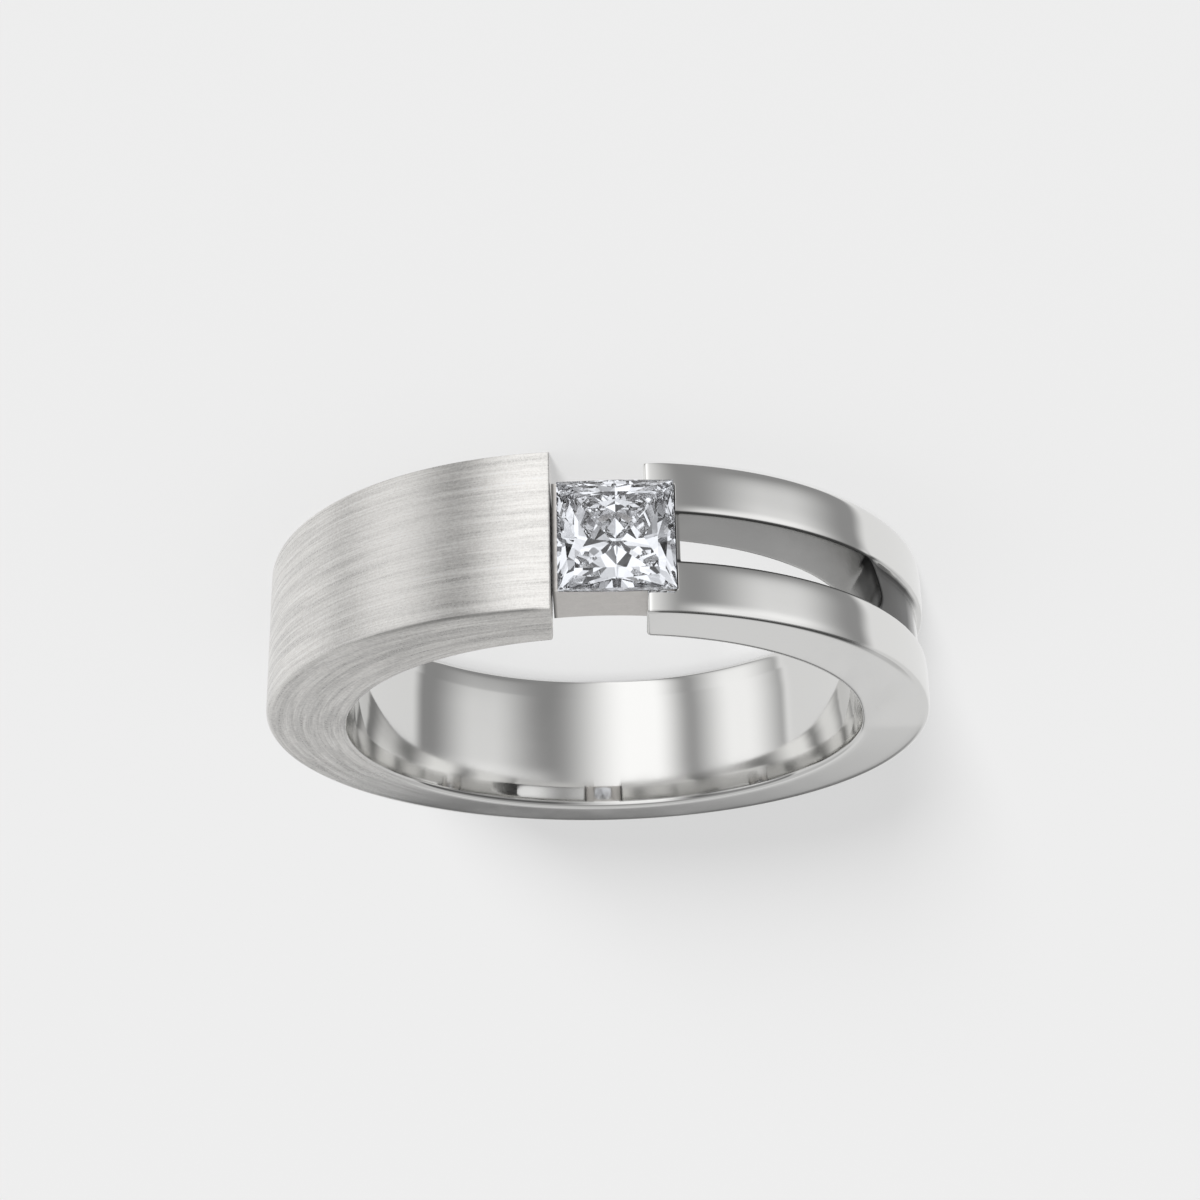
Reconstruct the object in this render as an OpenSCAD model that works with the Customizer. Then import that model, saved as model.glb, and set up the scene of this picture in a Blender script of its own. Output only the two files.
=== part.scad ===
// Princess cut diamond ring, lying on its side, in millimetres.
// The finger goes through along Z. The stone faces -Y, the wide brushed shoulder is on +X,
// and the two polished rails are on -X. The origin is the centre of the finger hole.

/* [Band] */
// Inside diameter of the finger hole
finger_d = 17; // [16.6:0.1:18]
// Width of the band along the finger
band_w = 5; // [4.8:0.1:6]
// Rounding of the finger hole's two edges
comfort_r = 0.25; // [0.1:0.05:0.4]
// Rounding of the band's outer edges
edge_r = 0.12; // [0.05:0.01:0.3]

/* [Outline] */
// Radius of the arc over the wide shoulder
shoulder_r = 10.25; // [10.1:0.05:10.4]
// Radius of the arc over the rails
rail_r = 10.5; // [10.4:0.05:10.8]
// Radius of the arc round the back of the band
shank_r = 11.15; // [11.1:0.05:11.3]
// How far the back arc's centre lies towards the stone
shank_shift = 0.55; // [0.4:0.05:0.7]
// Direction in which the shoulder's arc runs into the back arc, from the stone
shoulder_join = 76; // [60:1:90]
// Direction in which the rails' arc runs into the back arc, from the stone
rail_join = 152; // [130:1:160]

/* [Opening at the top] */
// Distance of the wide shoulder's end from the middle
shoulder_end = 1.5; // [1.4:0.01:1.6]
// Distance of the rails' ends from the middle
rail_end = 1.27; // [1.1:0.01:1.4]
// Distance of the notch's bottom from the middle
notch_end = 2.18; // [2.15:0.01:2.3]
// Rounding of the rails' inner corners at their ends
rail_corner_r = 0.22; // [0.1:0.01:0.3]
// Rounding of the shoulder's inner corner at its end
shoulder_corner_r = 0.08; // [0.05:0.01:0.2]

/* [Rails] */
// Width of the slot between the rails
slot_w = 1.6; // [1.4:0.05:1.8]
// Thickness of the web between the notch and the slot
web_t = 0.12; // [0.1:0.01:0.3]
// Distance of the tip of the slot's round end from the middle, at the outside
slot_end = 8.89; // [8.7:0.01:8.95]
// How much the slot's end leans towards the middle, from the outside in
slot_lean = 8; // [6:1:12]
// Depth of the shallow groove between the rails where it leaves the slot's end
groove_d = 0.28; // [0.15:0.01:0.35]
// Direction in which the groove runs out, from the stone
groove_turn = 120; // [110:1:130]
// How much each outer side of the rails tapers in from the band's side to the stone
rail_taper = 0.1; // [0.02:0.01:0.2]

/* [Diamond] */
// Side of the square girdle
stone_w = 3.45; // [3.3:0.05:3.45]
// Height of the table over the centre of the finger hole
table_h = 10.9; // [10.85:0.05:11]
// Side of the table as a part of the girdle's side
table_part = 0.7; // [0.65:0.01:0.75]
// Height of the crown as a part of the girdle's side
crown_part = 0.105; // [0.1:0.005:0.11]
// Thickness of the girdle as a part of its side
girdle_part = 0.03; // [0.02:0.005:0.04]

/* [Setting] */
// How much wider than the stone the notch is, on each side
notch_play = 0.025; // [0.02:0.005:0.05]
// Gap between the setting and the metal round it
setting_gap = 0.02; // [0.01:0.005:0.03]
// Gap between the setting and the stone, and between the stone and the notch
seat_gap = 0.02; // [0.01:0.005:0.03]
// Diameter of the hole under the stone's point
light_hole_d = 1.8; // [1.2:0.1:2.2]

/* [Hidden] */
$fn = 180;

finger_r = finger_d / 2;
// Longer than any cut is deep
reach = 40;
notch_w = stone_w + 2 * notch_play;
// Half the stone's side, and its middle along X
stone_half = stone_w / 2;
stone_x = -(notch_end - setting_gap - seat_gap - stone_half);
crown_h = crown_part * stone_w;
girdle_h = girdle_part * stone_w;
girdle_top = table_h - crown_h;

// A direction in the plane of the ring, turned from the stone towards the shoulder (+) or rails (-)
function way(turn) = [sin(turn), -cos(turn)];

shank_c = [0, -shank_shift];
// Arcs that run into the back arc smoothly have their centres on the line to the join
shoulder_c = shank_c + (shank_r - shoulder_r) * way(shoulder_join);
rail_c = shank_c + (shank_r - rail_r) * way(-rail_join);

// A disc of the band's width with round edges
module rounded_disc(r) {
    rotate_extrude()
        union() {
            translate([0, -band_w / 2]) square([r - edge_r, band_w]);
            translate([0, -band_w / 2 + edge_r]) square([r, band_w - 2 * edge_r]);
            for (side = [-1, 1])
                translate([r - edge_r, side * (band_w / 2 - edge_r)]) circle(edge_r);
        }
}

// The part of a disc that lies between two directions seen from the back arc's centre
module sector(from, to) {
    steps = 4;
    translate([shank_c[0], shank_c[1], -band_w])
        linear_extrude(2 * band_w)
            polygon(concat([[0, 0]], [for (i = [0:steps]) reach * way(from + (to - from) * i / steps)]));
}

// The outside of the band: three discs that run into each other
module outline() {
    intersection() {
        translate([shoulder_c[0], shoulder_c[1], 0]) rounded_disc(shoulder_r);
        sector(0, shoulder_join);
    }
    intersection() {
        translate([shank_c[0], shank_c[1], 0]) rounded_disc(shank_r);
        sector(shoulder_join, 360 - rail_join);
    }
    intersection() {
        translate([rail_c[0], rail_c[1], 0]) rounded_disc(rail_r);
        sector(-rail_join, 0);
    }
}

// The finger hole, flared in a quarter round at both faces
module finger_hole() {
    flare = comfort_r + 1;
    rotate_extrude()
        union() {
            translate([0, -band_w]) square([finger_r, 2 * band_w]);
            for (side = [-1, 1])
                scale([1, side])
                    translate([0, band_w / 2 - comfort_r])
                        difference() {
                            square([finger_r + comfort_r, flare]);
                            translate([finger_r + comfort_r, 0]) circle(comfort_r);
                        }
        }
}

// The slot that splits the band into two rails. It is cut straight in from the stone's side, and its
// round end leans a little towards the middle.
module slot() {
    web_far = -(notch_end + web_t);
    tip = [-slot_end, -sqrt(pow(rail_r, 2) - pow(slot_end + rail_c[0], 2))];
    lean = [sin(slot_lean), cos(slot_lean)];
    middle = tip + slot_w / 2 * [lean[1], -lean[0]];
    // Where the middle of the slot's end crosses the line between the two sides of the ring
    inside = middle - middle[1] / lean[1] * lean;
    outside = middle - reach * lean;
    translate([0, 0, -slot_w / 2])
        linear_extrude(slot_w)
            polygon([[web_far, -reach], [web_far, 0], inside, outside]);
    translate([inside[0], inside[1], 0]) rotate([90, 0, -slot_lean]) cylinder(d = slot_w, h = reach);
}

// The shallow groove that carries the slot's line on past its end, on an arc that runs out slowly
module groove() {
    run_out = 50;
    slot_turn = atan2(slot_end, sqrt(pow(rail_r, 2) - pow(slot_end, 2)));
    shift = groove_d / (cos(run_out) - cos(groove_turn + run_out - slot_turn));
    floor_c = rail_c + shift * way(-groove_turn - run_out);
    translate([0, 0, -slot_w / 2])
        linear_extrude(slot_w)
            difference() {
                polygon([finger_r * way(-slot_turn), reach * way(-slot_turn), reach * way(-(slot_turn + groove_turn) / 2),
                    reach * way(-groove_turn), finger_r * way(-groove_turn)]);
                translate(floor_c) circle(rail_r - shift * cos(run_out));
            }
}

// The gap between the shoulder and the rails, with the notch that the stone sits in
module top_opening() {
    translate([-rail_end, -reach, -band_w]) cube([rail_end + shoulder_end, reach, 2 * band_w]);
    translate([-notch_end, -reach, -notch_w / 2]) cube([notch_end, reach, notch_w]);
}

// What a rounding of radius r takes off the corner between the finger hole and an end face
module inner_corner(end, r) {
    middle = [sign(end) * (abs(end) + r), -sqrt(pow(finger_r + r, 2) - pow(abs(end) + r, 2))];
    on_hole = middle * finger_r / (finger_r + r);
    translate([0, 0, -band_w])
        linear_extrude(2 * band_w)
            difference() {
                polygon([middle, [end - sign(end) * r, middle[1]], [end, on_hole[1] + r], on_hole]);
                translate(middle) circle(r);
            }
}

// The wedges that taper the rails' outer sides towards the stone
module rail_wedges() {
    for (side = [-1, 1])
        scale([1, 1, side])
            translate([0, 0, band_w / 2])
                rotate([atan(rail_taper / rail_r), 0, 0])
                    translate([-reach, -reach, 0]) cube([reach, reach, band_w]);
}

module ring_band() {
    color("silver")
        difference() {
            outline();
            finger_hole();
            slot();
            groove();
            top_opening();
            rail_wedges();
            inner_corner(-rail_end, rail_corner_r);
            inner_corner(shoulder_end, shoulder_corner_r);
        }
}

// The diamond's facets that pass through a corner of the girdle, in lengths of half its side:
// how much each rises for one step in from its side, and for one step along it from the corner.
// The same rise in both directions is a corner facet, and any other has a twin across the middle.
CROWN = [
    // in, along
    [0.36, 0.36],
    [0.838, 0.044],
];
// The pavilion's facets fall away by these amounts, from the girdle's chevrons to the corner facets
PAVILION = [
    // in, along
    [1.6, 0.05],
    [1.0, 0.2],
    [0.72, 0.345],
    [0.525, 0.525],
];
// Slope of the four facets along the table's sides
star_slope = 20;

// The space under a sloping plane that passes through a point and faces a turn about the Z axis
module under_plane(turn, slope, point) {
    size = 2 * stone_w;
    rotate([0, 0, turn])
        translate([cos(turn) * point[0] + sin(turn) * point[1], 0, point[2]])
            rotate([0, slope, 0])
                translate([-size, -size, -2 * size]) cube([2 * size, 2 * size, 2 * size]);
}

// The space under all facets of a table, for a girdle of the given half side
module under_facets(rows, half) {
    intersection_for (turn = [0:90:270])
        intersection_for (row = rows)
            intersection_for (twin = row[0] == row[1] ? [1] : [-1, 1])
                rotate([0, 0, turn])
                    under_plane(twin * atan2(row[1], row[0]), atan(norm(row)), [half, twin * half, 0]);
}

// The cut stone with its table up and the girdle's upper corners at zero
module stone_shape(grow = 0) {
    half = stone_half + grow;
    intersection() {
        translate([-half, -half, -stone_w]) cube([2 * half, 2 * half, stone_w + crown_h + grow]);
        under_facets(CROWN, half);
        intersection_for (turn = [0:90:270])
            rotate([0, 0, turn]) under_plane(0, star_slope, [table_part * stone_half, 0, crown_h + grow]);
        translate([0, 0, -girdle_h]) mirror([0, 0, 1]) under_facets(PAVILION, half);
    }
}

// Puts a shape that looks up along Z at the stone's place, looking along -Y
module at_stone() {
    translate([stone_x, -girdle_top, 0]) rotate([90, 0, 0]) children();
}

module diamond() {
    color("aliceblue") at_stone() stone_shape();
}

// The block that bridges the opening under the stone, hollowed to the stone's underside
module stone_setting() {
    left = -(notch_end - setting_gap);
    right = shoulder_end - setting_gap;
    wide = notch_w - 2 * setting_gap;
    top = girdle_top - girdle_h - seat_gap;
    color("gainsboro")
        difference() {
            translate([left, -top, -wide / 2]) cube([right - left, top, wide]);
            finger_hole();
            at_stone() translate([0, 0, -seat_gap]) stone_shape(seat_gap);
            translate([stone_x, 0, 0]) rotate([90, 0, 0]) cylinder(d = light_hole_d, h = reach);
        }
}

ring_band();
stone_setting();
diamond();
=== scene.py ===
"""Looks of the princess cut diamond ring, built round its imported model."""
from math import asin, atan2, cos, pi, radians, sin, sqrt

import bmesh
import bpy
from mathutils import Matrix, Vector


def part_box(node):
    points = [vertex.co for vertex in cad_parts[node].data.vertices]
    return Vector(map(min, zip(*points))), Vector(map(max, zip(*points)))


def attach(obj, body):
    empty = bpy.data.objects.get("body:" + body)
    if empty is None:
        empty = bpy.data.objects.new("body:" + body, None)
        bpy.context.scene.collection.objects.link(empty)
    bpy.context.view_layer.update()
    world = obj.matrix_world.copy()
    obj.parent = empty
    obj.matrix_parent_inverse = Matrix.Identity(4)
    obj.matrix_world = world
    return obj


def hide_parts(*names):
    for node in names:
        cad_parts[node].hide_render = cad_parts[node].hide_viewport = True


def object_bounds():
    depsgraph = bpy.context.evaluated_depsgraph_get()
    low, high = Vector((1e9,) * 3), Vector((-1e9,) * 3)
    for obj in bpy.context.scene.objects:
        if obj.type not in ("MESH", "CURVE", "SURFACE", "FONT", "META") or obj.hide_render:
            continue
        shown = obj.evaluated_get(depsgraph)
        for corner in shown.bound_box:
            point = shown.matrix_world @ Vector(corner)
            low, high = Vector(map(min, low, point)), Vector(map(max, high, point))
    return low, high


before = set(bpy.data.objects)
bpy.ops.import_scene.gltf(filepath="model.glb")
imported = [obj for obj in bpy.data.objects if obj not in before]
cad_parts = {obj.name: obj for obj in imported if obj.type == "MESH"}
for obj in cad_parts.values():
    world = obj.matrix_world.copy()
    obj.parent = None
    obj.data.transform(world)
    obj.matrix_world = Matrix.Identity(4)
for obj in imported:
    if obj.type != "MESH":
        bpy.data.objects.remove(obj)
cad_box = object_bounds()

# Sizes of the band, in metres
MM = 0.001
FINGER_R = 8.5 * MM
HALF_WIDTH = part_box("ring_band")[1].z
SHANK_R = 11.15 * MM
SHOULDER_R = 10.25 * MM
RAIL_R = 10.5 * MM
SHANK_SHIFT = 0.55 * MM
SHOULDER_JOIN = radians(76)
RAIL_JOIN = radians(-152)
SHOULDER_END = 1.5 * MM
RAIL_END = -1.27 * MM
NOTCH_END = -2.18 * MM
NOTCH_HALF = 1.75 * MM
SLOT_HALF = 0.8 * MM
WEB = 0.12 * MM
SLOT_END = 8.89 * MM
SLOT_LEAN = radians(8)
GROOVE_D = 0.28 * MM
GROOVE_TURN = radians(120)
RAIL_TAPER = 0.1 * MM
RAILS_FULL_TURN = radians(80)
# The rails' outer faces curve down towards their edges, and towards their ends
RAIL_SWELL = 0.045 * MM
RAIL_END_DROP = 0.045 * MM
RAIL_END_LENGTH = 1 * MM
# The finger hole is straight in the middle and opens slowly towards its two edges
COMFORT_FROM = 1.15 * MM
COMFORT_R = 9 * MM


def way(turn):
    """Unit direction in the plane of the ring, turned from the stone towards the shoulder."""
    return Vector((sin(turn), -cos(turn)))


SHANK_C = Vector((0, -SHANK_SHIFT))
SHOULDER_C = SHANK_C + (SHANK_R - SHOULDER_R) * way(SHOULDER_JOIN)
RAIL_C = SHANK_C + (SHANK_R - RAIL_R) * way(RAIL_JOIN)


def turn_of(point):
    """Turn of a point seen from the centre of the finger hole, from 0 to a full circle."""
    return atan2(point.x, -point.y) % (2 * pi)


SHOULDER_TO_SHANK = turn_of(SHANK_C + SHANK_R * way(SHOULDER_JOIN))
SHANK_TO_RAIL = turn_of(SHANK_C + SHANK_R * way(RAIL_JOIN))


def outline_arc(turn):
    """Centre and radius of the outline's arc in a direction."""
    turn %= 2 * pi
    if turn < SHOULDER_TO_SHANK:
        return SHOULDER_C, SHOULDER_R
    if turn < SHANK_TO_RAIL:
        return SHANK_C, SHANK_R
    return RAIL_C, RAIL_R


def outline_radius(turn):
    """Distance from the centre of the finger hole to the outside of the band."""
    centre, radius = outline_arc(turn)
    along = centre.dot(way(turn))
    return along + sqrt(along * along - centre.length_squared + radius * radius)


def outline_turn(x):
    """Turn at which the outline near the stone reaches a distance x from the middle."""
    centre, radius = (SHOULDER_C, SHOULDER_R) if x > 0 else (RAIL_C, RAIL_R)
    return atan2(x, sqrt(radius * radius - (x - centre.x) ** 2) - centre.y)


def mix(a, b, part):
    return a + (b - a) * part


def smooth(value, low, high):
    """0 below low, 1 above high and a smooth step between."""
    t = min(max((value - low) / (high - low), 0), 1)
    return t * t * (3 - 2 * t)


def signed(turn):
    """The same turn between minus and plus half a circle."""
    return (turn + pi) % (2 * pi) - pi


def crossing(point, direction, centre, radius):
    """Where a line through a point last meets a circle, on the stone's side."""
    to_point = point - centre
    along = to_point.dot(direction)
    return point + direction * (-along - sqrt(along * along - to_point.length_squared + radius * radius))


# The slot's round end, as the cutter leaves it: its axis leans, so it is narrower along X than across
LEAN_WAY = Vector((sin(SLOT_LEAN), cos(SLOT_LEAN)))
SLOT_TIP = Vector((-SLOT_END, -sqrt(RAIL_R ** 2 - (SLOT_END + RAIL_C.x) ** 2)))
SLOT_AXIS = SLOT_TIP + SLOT_HALF * Vector((LEAN_WAY.y, -LEAN_WAY.x))
SLOT_MIDDLE_X = crossing(SLOT_AXIS, LEAN_WAY, RAIL_C, RAIL_R).x
SLOT_SQUASH = (SLOT_MIDDLE_X + SLOT_END) / SLOT_HALF
# How much nearer to the middle the slot's end is at the finger hole than outside
LEAN_IN = crossing(SLOT_AXIS, LEAN_WAY, Vector((0, 0)), -FINGER_R).x / SLOT_MIDDLE_X

# The groove's floor is an arc about a centre that is shifted away from the rails' own
RUN_OUT = radians(50)
SLOT_TURN = atan2(SLOT_END, sqrt(RAIL_R ** 2 - SLOT_END ** 2))
GROOVE_SHIFT = GROOVE_D / (cos(RUN_OUT) - cos(GROOVE_TURN + RUN_OUT - SLOT_TURN))


def groove_depth(turn):
    """Depth of the groove between the rails in a direction past the slot's end."""
    if not -GROOVE_TURN < turn < 0:
        return 0
    return GROOVE_SHIFT * (cos(RUN_OUT) - cos(GROOVE_TURN + RUN_OUT + turn))


# The band is modelled as a goldsmith's straight strip, which is then bent round the finger.
# A point of the strip has a run along it, a place across it and a height over its inner face.
STRIP_R = 9.6 * MM
STRIP_H = 2.2 * MM
# Cuts across the strip are parallel near the stone and point at the middle further on
PARALLEL_TO = radians(16)
RADIAL_FROM = radians(34)
# On the rails' side they stay parallel as far as the slot's tip, and lean as its end does
TIP_CUT = asin(SLOT_END / STRIP_R)
LEAN_FROM, LEAN_FULL = 4 * MM, 8 * MM
OUTSIDE_RADIAL, INSIDE_RADIAL = radians(90), radians(110)


def cut_turns(turn):
    """Directions in which a cut across the strip meets the finger hole and the outside."""
    x = STRIP_R * sin(turn)
    if turn >= 0:
        parallel = 1 - smooth(turn, PARALLEL_TO, RADIAL_FROM)
        if not parallel:
            return turn, turn
        return mix(turn, asin(x / FINGER_R), parallel), mix(turn, outline_turn(x), parallel)

    def leaning(x):
        return asin(x * mix(1, LEAN_IN, smooth(-x, LEAN_FROM, LEAN_FULL)) / FINGER_R)

    if -turn < TIP_CUT:
        inner = leaning(x)
    else:
        inner = turn + (leaning(-SLOT_END) + TIP_CUT) * (1 - smooth(-turn, TIP_CUT, INSIDE_RADIAL))
    outer = turn
    if -turn < OUTSIDE_RADIAL:
        outer = mix(outline_turn(x), turn, smooth(-turn, TIP_CUT, OUTSIDE_RADIAL))
    return inner, outer


def rail_part(turn):
    """1 over the rails and 0 past the groove's end."""
    return smooth(turn, -GROOVE_TURN, -RAILS_FULL_TURN) * (turn < 0)


def bend(run, across, height):
    """Place in the ring of a point of the strip."""
    inner, outer = cut_turns(signed(run / STRIP_R))
    outside = outline_radius(outer)
    if outer < 0:
        from_middle = (2 * abs(across) - HALF_WIDTH - SLOT_HALF) / (HALF_WIDTH - SLOT_HALF)
        outside -= RAIL_SWELL * rail_part(outer) * min(from_middle ** 4, 1)
        near_end = (run - cut_at(RAIL_END)) / RAIL_END_LENGTH + 1
        outside -= RAIL_END_DROP * max(0, near_end) ** 2
    place = mix(FINGER_R * way(inner), outside * way(outer), height / STRIP_H)
    if place.x < 0 and place.y < 0:
        across *= 1 + RAIL_TAPER / HALF_WIDTH * place.y / RAIL_R
    return Vector((place.x, place.y, across))


# Distances from an edge at which its rounding starts
CRISP = 0.05 * MM
SOFT = 0.3 * MM
COMFORT = 0.24 * MM
RAIL_CORNER = 0.2 * MM
RAIL_END_ROUNDING = 0.2 * MM
SHOULDER_CORNER = 0.08 * MM
SOFTER_FROM, SOFT_FROM = radians(25), radians(85)
COLUMN_STEP = radians(5)
# Cuts near the slot's round end, in radii of the end from its centre: before the slot and in it
CUTS_BEFORE_SLOT = -1.9, -1.06
CUTS_IN_SLOT = -0.75, -0.5, -0.25, 0, 0.8
# Parts of the way through the web, and from the notch to the rails' ends, at which more cuts lie
CUTS_IN_WEB = 0.3, 0.7
CUT_AT_NOTCH = 0.6


def edge_rounding(run):
    """Rounding of the band's outer edges: crisp at the stone and softer towards the back."""
    turn = abs(signed(run / STRIP_R))
    return mix(CRISP, SOFT, smooth(turn, SOFTER_FROM, SOFT_FROM))


def cut_at(x):
    """Run of the cut across the strip that meets the outside at a distance x from the middle."""
    return STRIP_R * (asin(x / STRIP_R) % (2 * pi))


def strip_columns():
    """Runs of the cuts across the strip, and the numbers of the ones that bound its openings."""
    def slot_cut(part):
        return cut_at(SLOT_MIDDLE_X + part * SLOT_HALF * SLOT_SQUASH)

    start, stop = cut_at(SHOULDER_END), cut_at(RAIL_END)
    notch, web = cut_at(NOTCH_END), cut_at(NOTCH_END - WEB)
    step = STRIP_R * COLUMN_STEP

    def between(low, high):
        count = max(1, round((high - low) / step))
        return [mix(low, high, (k + 0.5) / (count + 0.5)) for k in range(count)]

    runs = [start, start + CRISP]
    runs += between(runs[-1], slot_cut(CUTS_BEFORE_SLOT[0]))
    runs += [slot_cut(part) for part in CUTS_BEFORE_SLOT]
    marks = {"slot": len(runs)}
    runs += [slot_cut(part) for part in CUTS_IN_SLOT]
    runs += between(runs[-1], web - CRISP)
    runs += [web - CRISP]
    marks["web"] = len(runs)
    runs += [web] + [mix(web, notch, part) for part in CUTS_IN_WEB]
    marks["notch"] = len(runs)
    runs += [notch, notch + CRISP, mix(notch, stop, CUT_AT_NOTCH), stop - CRISP, stop]
    return runs, marks


# Places across the strip of the cuts along it, from its middle line out. Those on the rails are the same for
# the slot and the groove
RAIL_ROWS = [COMFORT_FROM + 2 * CRISP, NOTCH_HALF - CRISP, NOTCH_HALF, NOTCH_HALF + CRISP,
             HALF_WIDTH - CRISP, HALF_WIDTH]
SLOT_ROWS = [0, 0.4 * SLOT_HALF, SLOT_HALF - CRISP, SLOT_HALF, SLOT_HALF + CRISP,
             SLOT_HALF + 3 * CRISP, SLOT_HALF + 6 * CRISP] + RAIL_ROWS
GROOVE_ROWS = [0, 0.5 * SLOT_HALF, 0.75 * SLOT_HALF, SLOT_HALF - 1.5 * CRISP, SLOT_HALF - 0.2 * CRISP,
               SLOT_HALF + 0.6 * CRISP, SLOT_HALF + 2 * CRISP] + RAIL_ROWS
# Numbers of the rows at the slot's edge, the groove's edge, the notch's edge and the side face
SLOT_ROW, GROOVE_ROW, NOTCH_ROW, LAST_ROW = 3, 4, 9, len(SLOT_ROWS) - 1
# The groove's rows go on this many columns into the slot, to the end's centre
COLUMNS_AT_END = 3
# Directions of the rows from the round end's centre: from straight along the strip to halfway across it
END_TURNS = radians(90), radians(75), radians(60), radians(45)
END_STEP = radians(15)


def round_end(column, row, first, side):
    """Place of a grid point near the slot's half round end, as steps from the end's centre, or None."""
    def on_circle(turn, radius):
        return -radius * sin(turn), side * radius * cos(turn)

    if column == first and row <= SLOT_ROW:
        return on_circle(END_TURNS[row], SLOT_HALF)
    if column == first - 1 and row < SLOT_ROW:
        return on_circle(END_TURNS[row], SLOT_HALF + CRISP)
    corner = SLOT_HALF * sin(END_TURNS[SLOT_ROW])
    if column == first - 1 and row == SLOT_ROW:
        return -corner - CRISP, side * (corner + CRISP)
    if column in (first - 1, first) and row in (GROOVE_ROW, GROOVE_ROW + 1):
        return -corner - (first - column) * CRISP, side * GROOVE_ROWS[row]
    if first < column < first + COLUMNS_AT_END and row == SLOT_ROW:
        return on_circle(END_TURNS[SLOT_ROW] - END_STEP * (column - first), SLOT_HALF)
    return None


def strip_point(i, j, k, runs, marks):
    """Place on the strip of the grid point at column i, row j and layer k."""
    side = 1 if j >= LAST_ROW else -1
    row = abs(j - LAST_ROW)
    run = runs[i]
    edge = edge_rounding(run)
    low = k < 2
    # The column next to an end face lies further in where the corner is rounder
    if i == len(runs) - 2:
        run = runs[-1] - (RAIL_CORNER if low else RAIL_END_ROUNDING)
    if low and i == 1:
        run = runs[0] + SHOULDER_CORNER
    at_groove = i < marks["slot"] + COLUMNS_AT_END
    across = side * (GROOVE_ROWS if at_groove else SLOT_ROWS)[row]
    # So does the row next to a side face
    if row == LAST_ROW - 1:
        across = side * (HALF_WIDTH - (COMFORT if low else edge))
    placed = round_end(i, row, marks["slot"], side)
    if placed:
        run = cut_at(SLOT_MIDDLE_X + placed[0] * SLOT_SQUASH)
        across = placed[1]
    top_rounding = edge if row >= LAST_ROW - 1 else CRISP
    if i >= len(runs) - 2:
        top_rounding = RAIL_END_ROUNDING
    bottom = max(0, abs(across) - COMFORT_FROM) ** 2 / (2 * COMFORT_R)
    height = [bottom, COMFORT, STRIP_H - top_rounding, STRIP_H][k]
    if not low and row <= GROOVE_ROW and at_groove:
        # The groove starts at the middle of the slot's round end and has its full depth at the tip
        begun = 1 - smooth(run, cut_at(SLOT_MIDDLE_X - SLOT_HALF * SLOT_SQUASH), cut_at(SLOT_MIDDLE_X))
        height -= begun * groove_depth(cut_turns(signed(run / STRIP_R))[1])
    return Vector((run, across, height))


def build_band():
    """The band: a strip of cells with the notch and the slot left out, smoothed and then bent."""
    runs, marks = strip_columns()
    rows = 2 * LAST_ROW
    top = 3

    def filled(i, j):
        if not (0 <= i < len(runs) - 1 and 0 <= j < rows):
            return False
        # The cell's rows counted from the middle
        out = max(abs(j - LAST_ROW), abs(j + 1 - LAST_ROW))
        if i >= marks["notch"] and out <= NOTCH_ROW:
            return False
        return not (marks["slot"] <= i < marks["web"] and out <= SLOT_ROW)

    numbers, points, faces = {}, [], []

    def number(i, j, k):
        if (i, j, k) not in numbers:
            numbers[i, j, k] = len(points)
            points.append(strip_point(i, j, k, runs, marks))
        return numbers[i, j, k]

    def add(*corners):
        faces.append([number(*c) for c in corners])

    for i in range(len(runs) - 1):
        for j in range(rows):
            if not filled(i, j):
                continue
            add((i, j, top), (i + 1, j, top), (i + 1, j + 1, top), (i, j + 1, top))
            add((i, j, 0), (i, j + 1, 0), (i + 1, j + 1, 0), (i + 1, j, 0))
            for k in range(top):
                if not filled(i - 1, j):
                    add((i, j, k), (i, j, k + 1), (i, j + 1, k + 1), (i, j + 1, k))
                if not filled(i + 1, j):
                    add((i + 1, j, k), (i + 1, j + 1, k), (i + 1, j + 1, k + 1), (i + 1, j, k + 1))
                if not filled(i, j - 1):
                    add((i, j, k), (i + 1, j, k), (i + 1, j, k + 1), (i, j, k + 1))
                if not filled(i, j + 1):
                    add((i, j + 1, k), (i, j + 1, k + 1), (i + 1, j + 1, k + 1), (i + 1, j + 1, k))
    mesh = bpy.data.meshes.new("band")
    mesh.from_pydata(points, [], faces)
    band = subdivided(mesh, "band")
    # The places on the strip are kept for the brush lines, before the bending changes them
    strip = band.data.attributes.new("strip", "FLOAT_VECTOR", "POINT")
    for vertex, kept in zip(band.data.vertices, strip.data):
        kept.vector = vertex.co
        vertex.co = bend(*vertex.co)
    band.data.shade_smooth()
    return band


# Heights over which the outer brushing and painted shade start, short of the inner face, and the finger
# hole's darker tone ends
OUTER_FROM = 0.02 * MM, 0.2 * MM
HOLE_TO = 0.1 * MM, 0.25 * MM
# The brush dies out on the way round the back
BRUSH_TO = radians(100), radians(145)
# The slot is rougher, as the cutter left it, and painted shade darkens it along its walls, more at its end
# and where the groove starts
CUT_TO = SLOT_HALF, SLOT_HALF + 0.02 * MM
SHADED_WALL = 0.47
DARK_END = cut_at(SLOT_MIDDLE_X) - 0.38 * MM, cut_at(SLOT_MIDDLE_X) - 0.23 * MM
DEEP_TO_OUTSIDE = 0.3 * MM, 1.3 * MM
DARK_GROOVE_TURN = radians(279)
DARK_GROOVE = STRIP_R * DARK_GROOVE_TURN - 0.4 * MM, STRIP_R * DARK_GROOVE_TURN + 0.4 * MM
# A painted dark reflection runs along the shoulder's upper edge. How far it reaches is in roundings of the
# edge
LINE = 0.9, 1.8
SHOULDER_LINE_TONE = 0.6
SHOULDER_LINE_FROM = radians(9), radians(13)
SHOULDER_LINE_TO = radians(25), radians(45)
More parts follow.
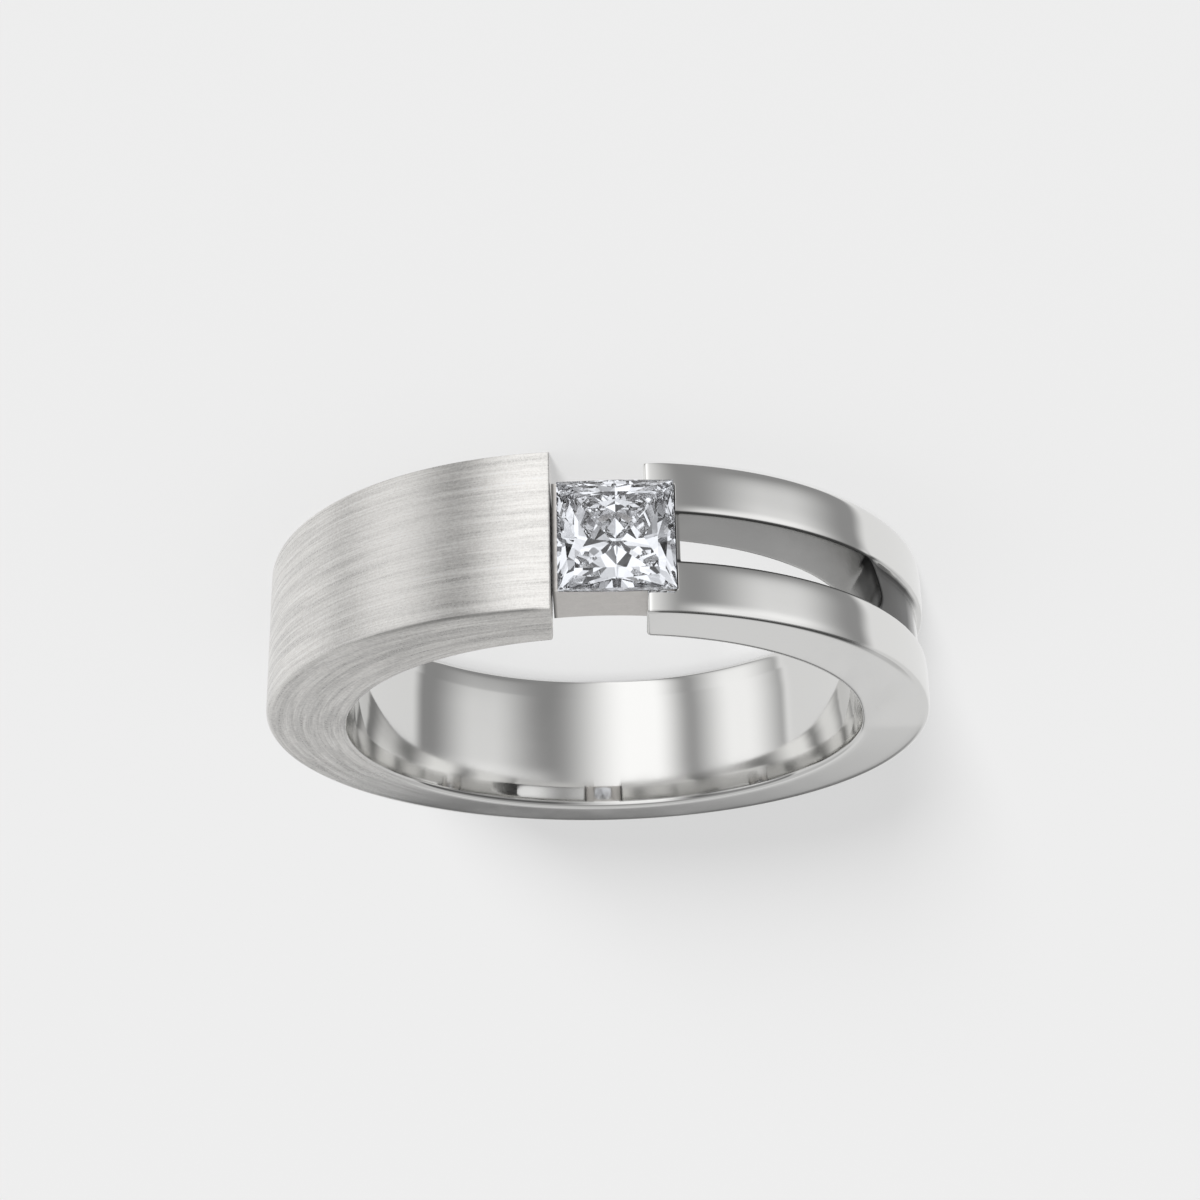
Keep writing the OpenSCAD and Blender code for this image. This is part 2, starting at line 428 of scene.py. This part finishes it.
# Painted dark reflections run along the slot's rims and the rails' upper edge, and painted shade is darkest
# in an arc round the slot's end
RIM_LINE_FROM = radians(291), radians(298)
SIDE_LINE = 0.4, 1.1
SIDE_LINE_FROM = radians(298), radians(312)
RAIL_LINES_TO = radians(350), radians(352)
# How near a rounded edge comes to the sharp one, in roundings
ROUNDED_OFF = 0.33
ARC = 0.05 * MM, 0.13 * MM
ARC_HEIGHTS = STRIP_H - 0.9 * MM, STRIP_H - 0.4 * MM
ARC_TONE = 1.12


def recess_tone(run, across, height, cut):
    """How dark a point of the strip is painted: shade in the slot and in an arc round its end, and dark
    reflections along edges. cut is 1 in the slot.
    """
    turn = run / STRIP_R
    # Painted shade in the slot, darkest at its end
    at_end = (1 - smooth(run, *DARK_END)) * smooth(height, *DEEP_TO_OUTSIDE)
    slot = mix(SHADED_WALL, 1, at_end) * cut * smooth(run, *DARK_GROOVE)
    below = abs(STRIP_H - height)
    rounding = edge_rounding(run)
    from_edge = (abs(HALF_WIDTH - across) + below) / rounding
    # Painted dark reflection along the shoulder's upper edge
    shoulder = (1 - smooth(from_edge, *LINE)) * smooth(turn, *SHOULDER_LINE_FROM)
    shoulder *= SHOULDER_LINE_TONE * (1 - smooth(turn, *SHOULDER_LINE_TO))
    # Painted dark reflections along the slot's rims and the rails' upper edge
    from_rim = (abs(abs(across) - SLOT_HALF) + below) / CRISP
    rim = (1 - smooth(from_rim, *LINE)) * smooth(turn, *RIM_LINE_FROM)
    # The line stays as thin where the edge is rounder
    from_side = ROUNDED_OFF + (from_edge - ROUNDED_OFF) * rounding / CRISP
    side = (1 - smooth(from_side, *SIDE_LINE)) * smooth(turn, *SIDE_LINE_FROM)
    rails = max(rim, side) * (1 - smooth(turn, *RAIL_LINES_TO))
    # Painted shade in an arc round the slot's end
    arc = 0
    past_centre = (SLOT_MIDDLE_X - STRIP_R * sin(turn)) / SLOT_SQUASH
    if past_centre > 0 and -pi / 2 < signed(turn) < 0:
        from_circle = abs(sqrt(past_centre ** 2 + across ** 2) - SLOT_HALF)
        arc = ARC_TONE * cut * (1 - smooth(from_circle, *ARC)) * smooth(height, *ARC_HEIGHTS)
    return max(slot, shoulder, rails, arc)


def add_finish(band):
    """Masks for the band's brushed finish, for its painted shade and dark reflections, and for the finger
    hole, and a map whose first axis crosses the brush lines.
    """
    band_masks = ("brushed", "recess", "hole")
    for name in band_masks:
        band.data.attributes.new(name, "FLOAT", "POINT")
    strip, brushed, recess, hole = (band.data.attributes[name].data for name in ("strip", *band_masks))
    places = []
    for k, at in enumerate(strip):
        run, across, height = at.vector
        outer = smooth(height, *OUTER_FROM)
        brushed[k].value = outer * (1 - smooth(run / STRIP_R, *BRUSH_TO))
        recess[k].value = recess_tone(run, across, height, outer * (1 - smooth(abs(across), *CUT_TO)))
        hole[k].value = 1 - smooth(height, *HOLE_TO)
        # Each side face is laid out flat beside the outside
        places.append((across + (1 if across > 0 else -1) * (STRIP_H - height), run))
    corners = band.data.uv_layers.new(name="brush_way").data
    for loop, corner in zip(band.data.loops, corners):
        corner.uv = places[loop.vertex_index]


def subdivided(mesh, name, levels=2):
    """A new object with the mesh after some levels of subdivision."""
    rough = bpy.data.objects.new(name + "_rough", mesh)
    bpy.context.collection.objects.link(rough)
    modifier = rough.modifiers.new("smooth", "SUBSURF")
    modifier.levels = modifier.render_levels = levels
    evaluated = rough.evaluated_get(bpy.context.evaluated_depsgraph_get())
    fine = bpy.data.meshes.new_from_object(evaluated)
    bpy.data.objects.remove(rough)
    piece = bpy.data.objects.new(name, fine)
    bpy.context.collection.objects.link(piece)
    return piece


SEAT_BEVEL = 0.05 * MM
SEAT_PLAY = 0.02 * MM
SAME_PLACE = 0.001 * MM
FLAT_BELOW = radians(1)
BEVEL_ABOVE = radians(50)
SHARP_ABOVE = radians(30)


def build_seat():
    """The bridge under the stone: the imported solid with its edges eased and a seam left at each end."""
    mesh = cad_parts["stone_setting"].data.copy()
    shape = bmesh.new()
    shape.from_mesh(mesh)
    bmesh.ops.remove_doubles(shape, verts=shape.verts, dist=SAME_PLACE)
    bmesh.ops.dissolve_limit(shape, angle_limit=FLAT_BELOW, verts=shape.verts, edges=shape.edges)
    low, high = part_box("stone_setting")
    middle = (low.x + high.x) / 2
    for vertex in shape.verts:
        vertex.co.x = middle + (vertex.co.x - middle) * (1 - 2 * SEAT_PLAY / (high.x - low.x))
    sharp = [e for e in shape.edges if len(e.link_faces) == 2 and e.calc_face_angle() > BEVEL_ABOVE]
    bmesh.ops.bevel(shape, geom=sharp, offset=SEAT_BEVEL, segments=3, affect="EDGES", clamp_overlap=True)
    shape.to_mesh(mesh)
    shape.free()
    seat = bpy.data.objects.new("seat", mesh)
    bpy.context.collection.objects.link(seat)
    mesh.shade_smooth()
    mesh.set_sharp_from_angle(angle=SHARP_ABOVE)
    return seat


def new_material(name, **values):
    """A material whose Principled BSDF has the given plain values, with its nodes and its shader."""
    material = bpy.data.materials.new(name)
    material.use_nodes = True
    shader = material.node_tree.nodes["Principled BSDF"]
    for setting, value in values.items():
        socket = setting if setting == "IOR" else setting.replace("_", " ").title()
        shader.inputs[socket].default_value = value
    return material, shader


class Wiring:
    """Short ways to add nodes to a tree. A value is a socket, a number or a row of numbers.
    An input is given by its name, or by i and its number."""

    def __init__(self, tree):
        self.tree = tree

    def node(self, kind, out=0, settings=(), **inputs):
        node = self.tree.nodes.new(kind)
        for name, value in dict(settings).items():
            setattr(node, name, value)
        for name, value in inputs.items():
            key = int(name[1:]) if name[1:].isdigit() else name.replace("_", " ")
            self.put(node.inputs[key], value)
        return node.outputs[out]

    def put(self, socket, value):
        if isinstance(value, bpy.types.NodeSocket):
            self.tree.links.new(value, socket)
        else:
            socket.default_value = value

    def maths(self, operation, *values):
        inputs = {f"i{k}": value for k, value in enumerate(values)}
        return self.node("ShaderNodeMath", settings={"operation": operation}, **inputs)

    def ramp(self, value, low, high, to_low=0.0, to_high=1.0, kind="SMOOTHSTEP"):
        """A smooth step from to_low, where the value is low, to to_high, where it is high."""
        limits = {"i1": low, "i2": high, "i3": to_low, "i4": to_high}
        return self.node("ShaderNodeMapRange", 0, {"interpolation_type": kind}, i0=value, **limits)

    def line(self, value, low, high, to_low=0.0, to_high=1.0):
        """The same with a straight slope."""
        return self.ramp(value, low, high, to_low, to_high, "LINEAR")

    def mix(self, part, a, b):
        """The value a where the part is 0, and b where it is 1."""
        return self.node("ShaderNodeMix", 0, Factor=part, A=a, B=b)

    def times(self, vector, factor):
        return self.node("ShaderNodeVectorMath", 0, {"operation": "SCALE"}, i0=vector, Scale=factor)

    def noise(self, vector, scale, detail=2.0, roughness=0.5):
        values = {"Scale": scale, "Detail": detail, "Roughness": roughness}
        return self.node("ShaderNodeTexNoise", 0, Vector=vector, **values)


def new_group(name, inputs, outputs):
    """An empty shader group. Its inputs are numbers with these values, or vectors where the value is None."""
    group = bpy.data.node_groups.new(name, "ShaderNodeTree")
    for socket, value in inputs.items():
        kind = "NodeSocketVector" if value is None else "NodeSocketFloat"
        made = group.interface.new_socket(socket, in_out="INPUT", socket_type=kind)
        if value is not None:
            made.default_value = value
    for socket in outputs:
        group.interface.new_socket(socket, in_out="OUTPUT", socket_type="NodeSocketFloat")
    begin = group.nodes.new("NodeGroupInput")
    finish = group.nodes.new("NodeGroupOutput")
    return group, Wiring(group), begin.outputs, finish.inputs


def place_group(wiring, group, **inputs):
    """The group in a material, with its own values."""
    node = wiring.tree.nodes.new("ShaderNodeGroup")
    node.node_tree = group
    for name, value in inputs.items():
        wiring.put(node.inputs[name.replace("_", " ")], value)
    return node.outputs


# The streaks are shorter and broader than the lines
STREAK_SHORTER = 2.5
STREAK_SCALE = 0.28
# For each pattern: how many finer layers it has, and how strong they are
LINE_LAYERS = 5.0, 0.7
STREAK_LAYERS = 4.0, 0.6
GRAIN_LAYERS = 2.0, 0.6
SMUDGE_LAYERS = 4.0, 0.6
HAIRLINE_LAYERS = 6.0, 0.75


def brush_line_group():
    """Long fine scratches along the first axis, with broad streaks and a fine grain among them."""
    inputs = {"Place": None, "Lines per mm": 18.0, "Length": 0.022, "Grain per mm": 17.0}
    group, w, begin, finish = new_group("brush_lines", inputs, ["Lines", "Streaks", "Grain"])
    in_mm = w.times(begin["Place"], 1 / MM)
    x, y, z = w.node("ShaderNodeSeparateXYZ", 0, i0=in_mm).node.outputs
    along = w.maths("MULTIPLY", x, begin["Length"])
    drawn = w.node("ShaderNodeCombineXYZ", 0, i0=along, i1=y, i2=z)
    w.put(finish["Lines"], w.noise(drawn, begin["Lines per mm"], *LINE_LAYERS))
    shorter = w.maths("MULTIPLY", along, STREAK_SHORTER)
    broad = w.node("ShaderNodeCombineXYZ", 0, i0=shorter, i1=y, i2=z)
    streaks_per_mm = w.maths("MULTIPLY", begin["Lines per mm"], STREAK_SCALE)
    w.put(finish["Streaks"], w.noise(broad, streaks_per_mm, *STREAK_LAYERS))
    w.put(finish["Grain"], w.noise(in_mm, begin["Grain per mm"], *GRAIN_LAYERS))
    return group


# The hairlines cross the finger hole at a slant, long one way and fine the other two
HAIRLINE_TURN = 0.5, 0.9, 0.7
HAIRLINE_SCALE = 0.15, 6, 6
HAIRLINE_PART = 0.62, 0.7


def worn_polish_group():
    """Faint smudges and hairline scratches of a polished surface that has been handled."""
    inputs = {"Place": None, "Smudges per mm": 0.35}
    group, w, begin, finish = new_group("worn_polish", inputs, ["Smudges", "Hairlines"])
    in_mm = w.times(begin["Place"], 1 / MM)
    w.put(finish["Smudges"], w.noise(in_mm, begin["Smudges per mm"], *SMUDGE_LAYERS))
    crossed = w.node("ShaderNodeMapping", 0, i0=in_mm, Rotation=HAIRLINE_TURN, Scale=HAIRLINE_SCALE)
    fine = w.noise(crossed, 1.0, *HAIRLINE_LAYERS)
    w.put(finish["Hairlines"], w.ramp(fine, *HAIRLINE_PART))
    return group


WHITE_GOLD = 0.793, 0.79, 0.778
BRUSHED_TINT = 0.01, 0, -0.01
# For each pattern: the part of it that shows, and how far it darkens and brightens the metal
LINE_TONE = 0.35, 0.65, -0.16, 0.16
STREAK_TONE = 0.38, 0.62, -0.14, 0.14
GRAIN_TONE = 0.35, 0.65, -0.11, 0.11
# Above this the recess mask leaves the metal black
RECESS_BLACK = 1.16
# The metal in the finger hole is coloured a little darker
HOLE_TONE = 0.92
BRUSHED_ROUGH, TONE_ROUGH = 0.35, 0.3
POLISH_ROUGH = 0.35, 0.75, 0.05, 0.09
HAIRLINE_ROUGH, RECESS_ROUGH = 0.02, 0.3
STREAK_HEIGHT = 0.8
SCRATCH_DEPTH = 0.03 * MM


def metal_material(lines, polish):
    """White gold: brushed where the band's own mask says so, and polished elsewhere."""
    material, shader = new_material("ring_metal_look", metallic=1, anisotropic=0.93)
    w = Wiring(material.node_tree)
    strip = w.node("ShaderNodeAttribute", 1, {"attribute_name": "strip"})
    brushed, recess, hole = (w.node("ShaderNodeAttribute", 2, {"attribute_name": name})
                             for name in ("brushed", "recess", "hole"))
    brush = place_group(w, lines, Place=strip)
    wear = place_group(w, polish, Place=strip)
    tone = w.maths("ADD", w.line(brush["Lines"], *LINE_TONE), w.line(brush["Streaks"], *STREAK_TONE))
    tone = w.maths("ADD", tone, w.line(brush["Grain"], *GRAIN_TONE))
    bright = w.maths("ADD", 1.0, w.maths("MULTIPLY", tone, brushed))
    # The recess mask paints shade and dark reflections into the metal's colour
    bright = w.maths("MULTIPLY", bright, w.line(recess, 0, RECESS_BLACK, 1.0, 0.0))
    bright = w.maths("MULTIPLY", bright, w.line(hole, 0, 1, 1.0, HOLE_TONE))
    tint = w.times(BRUSHED_TINT, brushed)
    gold = w.node("ShaderNodeVectorMath", 0, {"operation": "ADD"}, i0=WHITE_GOLD, i1=tint)
    w.put(shader.inputs["Base Color"], w.times(gold, bright))
    polished = w.ramp(wear["Smudges"], *POLISH_ROUGH)
    polished = w.maths("ADD", polished, w.maths("MULTIPLY", wear["Hairlines"], HAIRLINE_ROUGH))
    polished = w.maths("ADD", polished, w.maths("MULTIPLY", recess, RECESS_ROUGH))
    rough = w.maths("ADD", BRUSHED_ROUGH, w.maths("MULTIPLY", tone, TONE_ROUGH))
    w.put(shader.inputs["Roughness"], w.mix(brushed, polished, rough))
    height = w.maths("ADD", brush["Lines"], w.maths("MULTIPLY", brush["Streaks"], STREAK_HEIGHT))
    height = w.maths("MULTIPLY", height, brushed)
    bump = w.node("ShaderNodeBump", 0, Strength=0.12, Distance=SCRATCH_DEPTH, Height=height)
    w.put(shader.inputs["Normal"], bump)
    tangent = w.node("ShaderNodeTangent", 0, {"direction_type": "UV_MAP", "uv_map": "brush_way"})
    w.put(shader.inputs["Tangent"], tangent)
    return material


SEAT_GOLD = 0.76, 0.735, 0.71
SEAT_GRAIN_TONE = 0.3, 0.7, 0.96, 1.03
SEAT_STREAK_TONE = 0.3, 0.7, -0.03, 0.03
SEAT_ROUGH = 0.3, 0.7, 0.30, 0.42
SEAT_SCRATCH_DEPTH = 0.02 * MM
# Painted shade darkens the seams at the bridge's two ends
SEAM_WIDTH = 0.13 * MM
SEAM_SHADE = 0.12


def seat_material(lines):
    """White gold of the bridge under the stone, with an even satin finish."""
    material, shader = new_material("seat_metal_look", metallic=1)
    w = Wiring(material.node_tree)
    place = w.node("ShaderNodeTexCoord", 3)
    brush = place_group(w, lines, Place=place, Lines_per_mm=12.0, Length=0.5, Grain_per_mm=18.0)
    streaks = w.line(brush["Streaks"], *SEAT_STREAK_TONE)
    tone = w.maths("ADD", w.line(brush["Grain"], *SEAT_GRAIN_TONE), streaks)
    # Painted shade towards the seams at the bridge's ends
    low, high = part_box("stone_setting")
    x = w.node("ShaderNodeSeparateXYZ", 0, i0=place)
    from_middle = w.maths("ABSOLUTE", w.maths("SUBTRACT", x, (low.x + high.x) / 2))
    to_seam = w.maths("SUBTRACT", (high.x - low.x) / 2 - SEAT_PLAY, from_middle)
    tone = w.maths("MULTIPLY", tone, w.ramp(to_seam, 0, SEAM_WIDTH, SEAM_SHADE, 1.0))
    w.put(shader.inputs["Base Color"], w.times(SEAT_GOLD, tone))
    w.put(shader.inputs["Roughness"], w.ramp(brush["Lines"], *SEAT_ROUGH))
    bump = w.node("ShaderNodeBump", 0, Strength=0.1, Distance=SEAT_SCRATCH_DEPTH, Height=brush["Lines"])
    w.put(shader.inputs["Normal"], bump)
    return material


STONE_TINT = 0.92, 0.945, 1, 1
STONE_SHINE = 0.35, 0.35, 0.35, 1
STONE_IOR = 2.417
# The part of the way from the stone's middle to its rim where the frost starts and is full
FROST_FROM = 0.995, 0.999
FROST_GRAINS_PER_M = 12000.0
FROST_ROUGH = 0.3, 0.7, 0.05, 0.15


def diamond_material():
    """Clear stone, with its narrow rim left frosted by the cutter."""
    clear = {"base_color": STONE_TINT, "specular_tint": STONE_SHINE, "IOR": STONE_IOR}
    material, shader = new_material("diamond_look", roughness=0, transmission_weight=1, **clear)
    w = Wiring(material.node_tree)
    place = w.node("ShaderNodeTexCoord", 3)
    x, y, z = w.node("ShaderNodeSeparateXYZ", 0, i0=place).node.outputs
    low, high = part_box("diamond")
    half = (high - low) / 2
    across = w.maths("ABSOLUTE", w.maths("SUBTRACT", x, (low.x + high.x) / 2))
    up = w.maths("ABSOLUTE", w.maths("SUBTRACT", z, (low.z + high.z) / 2))
    rim = w.maths("MAXIMUM", w.maths("DIVIDE", across, half.x), w.maths("DIVIDE", up, half.z))
    grain = w.noise(place, FROST_GRAINS_PER_M)
    frost = w.maths("MULTIPLY", w.ramp(rim, *FROST_FROM), w.ramp(grain, *FROST_ROUGH))
    w.put(shader.inputs["Roughness"], frost)
    return material


def give(piece, material):
    """The material in place of the piece's own."""
    piece.data.materials.clear()
    piece.data.materials.append(material)


# The studio's soft lights are what the metal and the stone mirror. The way to a light is its turn from the
# stone's side towards the wide shoulder, and its rise over the table, in degrees. Each row: where the light
# starts, is full, is full no more and ends, first by turn and then by rise, and its brightness.
STUDIO_LIGHTS = {
    "front window": ((-28, 12, 23.5, 45), (-110, -100, 15, 35), 1.0),
    "shoulder card": ((38, 65, 71.5, 103), (-62, -27, -6, 22), 0.85),
    "low rail card": ((-93, -66, -57, -29), (-38, -21, -17, -8), 0.52),
    "high rail card": ((-94, -62, -36, -18), (-19.5, -9, -3, 3), 0.68),
    "ceiling": ((-200, -190, 190, 200), (25, 50, 95, 100), 0.11),
}
ROOM = 0.31
# The room is darkest just over the lights. The rises are given as a light's are
DIM_RISES = 0, 6, 15, 21
DIM = 0.12
# The backdrop starts behind the rails and behind the shoulder. Its edge by the rails leans
RAIL_EDGE = -92.5, -101.5
RAIL_LEAN = 0.2
SHOULDER_EDGE = 92.5, 98.5
# It is less bright higher up, and over its upper edge the room starts again
BACKDROP_FADE = -10, 5
BACKDROP, BACKDROP_ABOVE = 0.86, 0.74
BACKDROP_TOP = 24, 30
OVER_BACKDROP = 0.54
# Behind the ring stands a dark table, whose far edge is higher towards the shoulder's side, and just over the
# table the backdrop is in shade
TABLE_TURNS = 161, 173
TABLE_RISES = 8, 12
TABLE_LEAN = 6
TABLE_EDGE = 17.5, 16.6
TABLE = 0.17
SHADE_RISES = 17, 20.5
SHADE = 0.45
# What the camera sees behind the ring
BACKGROUND = 0.84
# Bright lights with dark cards between them show through the stone, in waves round the ring and upwards
STONE_LIGHT, STONE_DARK = 1.16, 0.0
CARDS_ROUND, CARDS_UP = radians(9), radians(7)
CARDS_EDGE = -1.15, 0.45
# A round dark card stands in front of the stone
FRONT_CARD_RISE = radians(20.8)
FRONT_CARD = cos(radians(8)), cos(radians(16))


def studio():
    """An even fill for the floor, and soft lights all round for all that the metal and the stone mirror."""
    world = bpy.data.worlds.new("studio")
    bpy.context.scene.world = world
    world.use_nodes = True
    w = Wiring(world.node_tree)
    way_seen = w.node("ShaderNodeTexCoord", 0)
    x, y, z = w.node("ShaderNodeSeparateXYZ", 0, i0=way_seen).node.outputs
    turn = w.maths("DEGREES", w.maths("ARCTAN2", x, w.maths("MULTIPLY", y, -1.0)))
    rise = w.maths("DEGREES", w.maths("ARCSINE", z))

    def lit(value, start, full, still, stop):
        return w.maths("MULTIPLY", w.ramp(value, start, full), w.ramp(value, stop, still))

    leaning = w.maths("SUBTRACT", turn, w.maths("MULTIPLY", rise, RAIL_LEAN))
    behind = w.maths("MAXIMUM", w.ramp(leaning, *RAIL_EDGE), w.ramp(turn, *SHOULDER_EDGE))
    backdrop = w.ramp(rise, *BACKDROP_FADE, BACKDROP, BACKDROP_ABOVE)
    over_table = w.maths("SUBTRACT", rise, w.maths("MULTIPLY", x, TABLE_LEAN))
    shaded = w.line(over_table, *SHADE_RISES, SHADE, BACKDROP_ABOVE)
    table = w.mix(w.ramp(over_table, *TABLE_EDGE), shaded, TABLE)
    at_table = w.ramp(w.maths("ABSOLUTE", turn), *TABLE_TURNS)
    at_table = w.maths("MULTIPLY", w.ramp(rise, *TABLE_RISES), at_table)
    backdrop = w.mix(at_table, backdrop, table)
    backdrop = w.mix(w.ramp(rise, *BACKDROP_TOP), backdrop, OVER_BACKDROP)
    room = w.mix(lit(rise, *DIM_RISES), ROOM, DIM)
    seen = w.mix(behind, room, backdrop)
    for turns, rises, brightness in STUDIO_LIGHTS.values():
        mask = w.maths("MULTIPLY", lit(turn, *turns), lit(rise, *rises))
        seen = w.maths("ADD", seen, w.maths("MULTIPLY", mask, brightness))

    waves = [w.maths("SINE", w.maths("MULTIPLY", angle, count))
             for angle, count in ((turn, CARDS_ROUND), (rise, CARDS_UP))]
    cards = w.ramp(w.maths("MULTIPLY", *waves), *CARDS_EDGE)
    to_card = Vector((0, -cos(FRONT_CARD_RISE), sin(FRONT_CARD_RISE)))
    from_card = w.node("ShaderNodeVectorMath", 1, {"operation": "DOT_PRODUCT"}, i0=way_seen, i1=to_card)
    cards = w.maths("MULTIPLY", cards, w.ramp(from_card, *FRONT_CARD))
    stone = w.line(cards, 0, 1, STONE_DARK, STONE_LIGHT)

    path = w.node("ShaderNodeLightPath").node.outputs
    strength = w.mix(path["Is Camera Ray"], seen, BACKGROUND)
    strength = w.mix(path["Is Diffuse Ray"], strength, FILL)
    strength = w.mix(path["Is Transmission Ray"], strength, stone)
    background = world.node_tree.nodes["Background"].inputs
    w.put(background["Color"], (1, 1, 1, 1))
    w.put(background["Strength"], strength)


# The floor is a light table that glows by itself. A low lamp on the stone's side lays the ring's faint shadow
# on it. A second one straight over the finger hole lights the floor in it as brightly. The rest is even fill.
FLOOR_HALF = 0.6
FLOOR_TONE = 0.3
FLOOR_GLOW = 0.47
FILL = 0.6
LAMP_TURN = radians(11)
LAMP_RISE = radians(7.5)
LAMP_SIZE = radians(11)
LAMP_LIGHT = 0.66
HOLE_LAMP_HEIGHT = 150 * MM
HOLE_LAMP_LIGHT = 0.66
HOLE_LAMP_SIZE = 1 * MM
HOLE_LAMP_BLEND = 0.05


def lamp(name, kind, aim, **settings):
    """A lamp that shines against a direction. The metal and the stone don't mirror it."""
    light = bpy.data.lights.new(name, kind)
    for setting, value in settings.items():
        setattr(light, setting, value)
    piece = bpy.data.objects.new(name, light)
    bpy.context.collection.objects.link(piece)
    piece.rotation_euler = aim.to_track_quat("Z", "Y").to_euler()
    piece.visible_glossy = False
    piece.visible_transmission = False
    return piece


def lamps():
    """The low lamp and the one over the finger hole. Their powers give the floor the stated light."""
    aim = Vector((*(way(LAMP_TURN) * cos(LAMP_RISE)), sin(LAMP_RISE)))
    lamp("low_lamp", "SUN", aim, energy=LAMP_LIGHT * pi / sin(LAMP_RISE), angle=LAMP_SIZE)
    power = HOLE_LAMP_LIGHT * 4 * pi * pi * HOLE_LAMP_HEIGHT ** 2
    spot = {"spot_size": 2 * atan2(FINGER_R, HOLE_LAMP_HEIGHT), "spot_blend": HOLE_LAMP_BLEND}
    over = lamp("hole_lamp", "SPOT", Vector((0, 0, 1)), energy=power, shadow_soft_size=HOLE_LAMP_SIZE, **spot)
    over.location.z = cad_box[0].z + HOLE_LAMP_HEIGHT


def floor():
    """The glowing table top on which the ring lies."""
    mesh = bpy.data.meshes.new("floor")
    corners = [(-1, -1), (1, -1), (1, 1), (-1, 1)]
    mesh.from_pydata([(x * FLOOR_HALF, y * FLOOR_HALF, cad_box[0].z) for x, y in corners], [], [(0, 1, 2, 3)])
    plane = bpy.data.objects.new("floor", mesh)
    bpy.context.collection.objects.link(plane)
    glow = {"emission_color": (1, 1, 1, 1), "emission_strength": FLOOR_GLOW}
    tone = FLOOR_TONE, FLOOR_TONE, FLOOR_TONE, 1
    give(plane, new_material("floor_look", base_color=tone, roughness=1, **glow)[0])
    # The metal and the stone mirror the studio alone
    plane.visible_glossy = False
    plane.visible_transmission = False


CAMERA_PLACE = Vector((0.09, -64.33, 24.43)) * MM
CAMERA_PITCH = radians(22.57)
CAMERA_ROLL = radians(178.78)
CAMERA_LENS = 60.72
CAMERA_SENSOR = 36
CAMERA_SEES = 0.001, 10


def camera():
    """The camera: on the stone's side of the ring and above it, rolled as in the photo."""
    data = bpy.data.cameras.new("camera")
    data.lens = CAMERA_LENS
    data.sensor_width = CAMERA_SENSOR
    data.clip_start, data.clip_end = CAMERA_SEES
    eye = bpy.data.objects.new("camera", data)
    bpy.context.collection.objects.link(eye)
    look = Matrix.Rotation(pi / 2 - CAMERA_PITCH, 4, "X") @ Matrix.Rotation(CAMERA_ROLL, 4, "Z")
    eye.matrix_world = Matrix.Translation(CAMERA_PLACE) @ look
    bpy.context.scene.camera = eye


band = build_band()
add_finish(band)
brush_lines = brush_line_group()
give(band, metal_material(brush_lines, worn_polish_group()))
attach(band, "root")
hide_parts("ring_band")
seat = build_seat()
give(seat, seat_material(brush_lines))
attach(seat, "root")
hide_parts("stone_setting")
give(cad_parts["diamond"], diamond_material())
studio()
lamps()
floor()
camera()

# The stone sends light round many times before it comes out
light_paths = bpy.context.scene.cycles
light_paths.max_bounces = 32
light_paths.transmission_bounces = 32
light_paths.glossy_bounces = 16
bpy.context.scene.view_settings.view_transform = "Standard"
